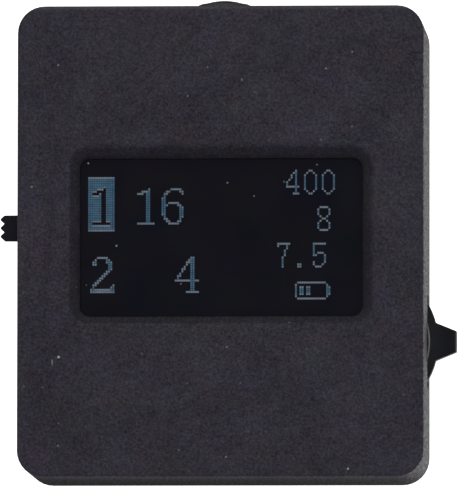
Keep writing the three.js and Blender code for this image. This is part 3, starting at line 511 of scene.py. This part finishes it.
TALL = {
    "1": """
.......#....
....####....
..###.##....
......##....
......##....
......##....
......##....
......##....
......##....
......##....
......##....
......##....
......##....
......##....
......##....
..########..
""",
    "2": """
....#####...
...#....##..
..##....###.
..##.....##.
.........##.
.........##.
........##..
.......##...
......##....
.....##.....
....##......
...##.......
..##.......#
..#.......##
.###########
.###########
""",
    "4": """
........##..
.......###..
......####..
......#.##..
.....#..##..
....##..##..
....#...##..
...#....##..
..##....##..
..#.....##..
.###########
........##..
........##..
........##..
........##..
......######
""",
    "6": """
.....#####..
...##....##.
..##......#.
..#.........
.##.........
.##.........
.##.#####...
.###....##..
.##......##.
.##......##.
.##......##.
.##......##.
..#......##.
..##.....#..
...##...##..
....#####...
""",
}

SMALL = {
    "0": """
...##...
..#..#..
.#....#.
.#....#.
.#....#.
.#....#.
.#....#.
.#....#.
.#....#.
..#..#..
...##...
""",
    "4": """
.....#..
....##..
...#.#..
...#.#..
..#..#..
.#...#..
.#...#..
.######.
.....#..
.....#..
....###.
""",
    "5": """
.######.
.#......
.#......
.#......
.#.###..
.##...#.
......#.
......#.
.#....#.
.#...#..
..###...
""",
    "7": """
.######.
.#...#..
.....#..
....#...
....#...
....#...
...#....
...#....
...#....
...#....
...#....
""",
    "8": """
..####..
.#....#.
.#....#.
.#....#.
..#..#..
...##...
..#..#..
.#....#.
.#....#.
.#....#.
..####..
""",
    ".": """
........
........
........
........
........
........
........
........
........
..##....
..##....
""",
}

BATTERY_SIGN = """
.#############..
#.............#.
#.##.##.......##
#.##.##.......##
#.##.##.......##
#.##.##.......##
#.............#.
.#############..
"""

# Columns and rows of the display, in dots
TALL_CELL = (12, 24)
BOX_COLUMN = 4
UPPER_ROW = 6
LOWER_ROW = 36
TALL_TOP = 5
SMALL_TOP = 3
READINGS = (
    (TALL, "16", 24, UPPER_ROW + TALL_TOP),
    (TALL, "2", BOX_COLUMN, LOWER_ROW + TALL_TOP),
    (TALL, "4", 42, LOWER_ROW + TALL_TOP),
    (SMALL, "400", 92, SMALL_TOP),
    (SMALL, "8", 106, 16 + SMALL_TOP),
    (SMALL, "7.5", 88, 32 + SMALL_TOP),
)
BATTERY_SIGN_PLACE = (97, 52)


def dots_of(drawing, column, row):
    lines = drawing.strip().splitlines()
    return {
        (column + x, row + y)
        for y, line in enumerate(lines) for x, mark in enumerate(line) if mark == "#"
    }


def written(signs, text, column, row):
    dots = set()
    for letter in text:
        drawing = signs[letter]
        dots |= dots_of(drawing, column, row)
        column += len(drawing.strip().splitlines()[0])
    return dots


def lit_dots():
    """Large numbers on the left, the first one dark in a lit box, then small ones and a battery sign."""
    wide, high = TALL_CELL
    box = {(BOX_COLUMN + x, UPPER_ROW + y) for x in range(wide) for y in range(high)}
    dots = box - written(TALL, "1", BOX_COLUMN, UPPER_ROW + TALL_TOP)
    for signs, text, column, row in READINGS:
        dots |= written(signs, text, column, row)
    return dots | dots_of(BATTERY_SIGN, *BATTERY_SIGN_PLACE)


def display_dots():
    mesh = bpy.data.meshes.new("display_dots")
    work = bmesh.new()
    half_y = DOT_PITCH_Y * DOT_SHARE_Y / 2
    bottom = GLASS_HIGH[2]
    top = bottom + DOT_HEIGHT
    dots = lit_dots()
    for column, row in sorted(dots):
        at_end = (column, row - 1) not in dots or (column, row + 1) not in dots
        at_side = (column - 1, row) not in dots or (column + 1, row) not in dots
        half_x = DOT_PITCH_X * (SIDE_DOT_SHARE_X if at_side else DOT_SHARE_X) / 2
        x = (column + 0.5 - DISPLAY_COLUMNS / 2) * DOT_PITCH_X
        y = DISPLAY_CENTRE_Y - (row + 0.5 - DISPLAY_ROWS / 2) * DOT_PITCH_Y
        left, right, near, far = x - half_x, x + half_x, y - half_y, y + half_y
        corners = [(left, near), (right, near), (right, far), (left, far)]
        low = [work.verts.new((cx, cy, bottom)) for cx, cy in corners]
        high = [work.verts.new((cx, cy, top)) for cx, cy in corners]
        faces = [work.faces.new(high), work.faces.new(low[::-1])]
        for side in range(4):
            after = (side + 1) % 4
            faces.append(work.faces.new((low[side], low[after], high[after], high[side])))
        for face in faces:
            face.material_index = int(at_end)
    work.to_mesh(mesh)
    work.free()
    piece = bpy.data.objects.new("display_dots", mesh)
    bpy.context.scene.collection.objects.link(piece)
    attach(piece, BODY_OF["display_cover_glass"])
    mesh.materials.append(lit_dot("lit_dot", (0.022, 0.064, 0.106, 1), (0.035, 0.088, 0.140, 1)))
    mesh.materials.append(lit_dot("lit_end_dot", (0.088, 0.110, 0.140, 1), (0.116, 0.142, 0.177, 1)))


display_dots()


# Camera, floor and light

CAMERA_DISTANCE = 1.0
CAMERA_RIGHT_DEGREES = 3.09
CAMERA_BELOW_DEGREES = 4.26
CAMERA_ROLL_DEGREES = 0.08
SENSOR_HEIGHT_MM = 24.0
LIGHT_DISTANCE = 0.6
BROAD_LIGHT = (0.35, 0.35)
FLOOR_REACH = 1.5
FLOOR_LEVEL = -0.02 * MM


def place_camera():
    data = bpy.data.cameras.new("camera")
    data.sensor_fit = "VERTICAL"
    data.sensor_height = SENSOR_HEIGHT_MM
    view_height = PHOTO_HEIGHT_PX / PX_PER_MM * MM
    data.lens = SENSOR_HEIGHT_MM * CAMERA_DISTANCE / view_height
    data.clip_start = 0.01
    data.clip_end = 10.0
    camera = bpy.data.objects.new("camera", data)
    bpy.context.scene.collection.objects.link(camera)
    right = math.tan(math.radians(CAMERA_RIGHT_DEGREES))
    below = math.tan(math.radians(CAMERA_BELOW_DEGREES))
    back = Vector((right, -below, 1.0)).normalized()
    side = Vector((0, 1, 0)).cross(back).normalized()
    up = back.cross(side)
    off_x = (PHOTO_WIDTH_PX / 2 - FACE_CENTRE_PX[0]) / PX_PER_MM * MM
    off_y = (PHOTO_HEIGHT_PX / 2 - FACE_CENTRE_PX[1]) / PX_PER_MM * MM
    aim = Vector((0, 0, FACE_Z)) + side * off_x - up * off_y
    turn = Matrix.Rotation(math.radians(CAMERA_ROLL_DEGREES), 3, "Z")
    camera.rotation_euler = (Matrix((side, up, back)).transposed() @ turn).to_euler()
    camera.location = aim + back * CAMERA_DISTANCE
    bpy.context.scene.camera = camera


def area_light(name, size, power):
    data = bpy.data.lights.new(name, "AREA")
    data.shape = "RECTANGLE"
    data.size, data.size_y = size
    data.energy = power
    lamp = bpy.data.objects.new(name, data)
    bpy.context.scene.collection.objects.link(lamp)
    return lamp


def soft_light(name, azimuth, elevation, size, power):
    """A soft light that looks at the case's middle; azimuth 0 is at +X and 90 at +Y."""
    lamp = area_light(name, size, power)
    middle = Vector((0, 0, (CASE_LOW[2] + CASE_HIGH[2]) / 2))
    around = math.radians(azimuth)
    up = math.radians(elevation)
    way = Vector((math.cos(around) * math.cos(up), math.sin(around) * math.cos(up), math.sin(up)))
    lamp.location = middle + way * LIGHT_DISTANCE
    lamp.rotation_euler = way.to_track_quat("Z", "Y").to_euler()
    return lamp


def near_card(name, place, turn, size, power):
    """A small lit card beside the case, hidden from the camera; the walls show its reflection."""
    lamp = area_light(name, size, power)
    lamp.location = place
    lamp.rotation_euler = turn
    lamp.visible_camera = False


def pale_floor():
    mesh = bpy.data.meshes.new("floor")
    signs = ((-1, -1), (1, -1), (1, 1), (-1, 1))
    corners = [(x * FLOOR_REACH, y * FLOOR_REACH, FLOOR_LEVEL) for x, y in signs]
    mesh.from_pydata(corners, [], [(0, 1, 2, 3)])
    floor = bpy.data.objects.new("floor", mesh)
    bpy.context.scene.collection.objects.link(floor)
    finish = Finish("pale_floor", 0.9)
    tone = finish.noise(0.3, 2.0)
    paper = finish.blend(tone, grey(0.86), grey(0.90))
    finish.set("Base Color", paper)
    finish.set("Emission Color", paper)
    finish.set("Emission Strength", 1.1)
    mesh.materials.append(finish.material)
    floor.visible_diffuse = False
    floor.visible_glossy = False


def studio():
    world = bpy.data.worlds.new("studio")
    world.use_nodes = True
    background = world.node_tree.nodes["Background"]
    background.inputs["Color"].default_value = (0.9, 0.95, 1.0, 1)
    background.inputs["Strength"].default_value = 0.04
    bpy.context.scene.world = world
    bpy.context.scene.view_settings.view_transform = "Standard"
    overhead = soft_light("light_overhead", 90, 89, BROAD_LIGHT, 1.34)
    overhead.visible_glossy = False
    soft_light("light_right", 0, 58, BROAD_LIGHT, 0.47)
    soft_light("light_front", 90, 52, BROAD_LIGHT, 0.45)
    soft_light("light_left", 180, 58, BROAD_LIGHT, 0.05)
    near = soft_light("light_near", 270, 60, BROAD_LIGHT, 0.46)
    near.visible_glossy = False
    soft_light("light_low_left", 205, 14, (0.25, 0.2), 0.10)
    soft_light("light_low_front", 90, 16, (0.35, 0.2), 0.20)
    right_place = (CASE_HIGH[0] + 8 * MM, -5 * MM, 0.4 * MM)
    rear_place = (1 * MM, WALL_REAR_Y - 2.7 * MM, FACE_Z - 0.9 * MM)
    left_place = (CASE_LOW[0] - 80 * MM, 0, FACE_Z / 2)
    faces_up = (math.pi, 0, 0)
    faces_forward = (math.pi / 2, 0, 0)
    faces_right = (0, -math.pi / 2, 0)
    near_card("card_right", right_place, faces_up, (14 * MM, 54 * MM), 0.0028)
    near_card("card_rear", rear_place, faces_forward, (38 * MM, 1 * MM), 0.0003)
    near_card("card_left", left_place, faces_right, (12 * MM, 80 * MM), 0.014)


place_camera()
pale_floor()
studio()
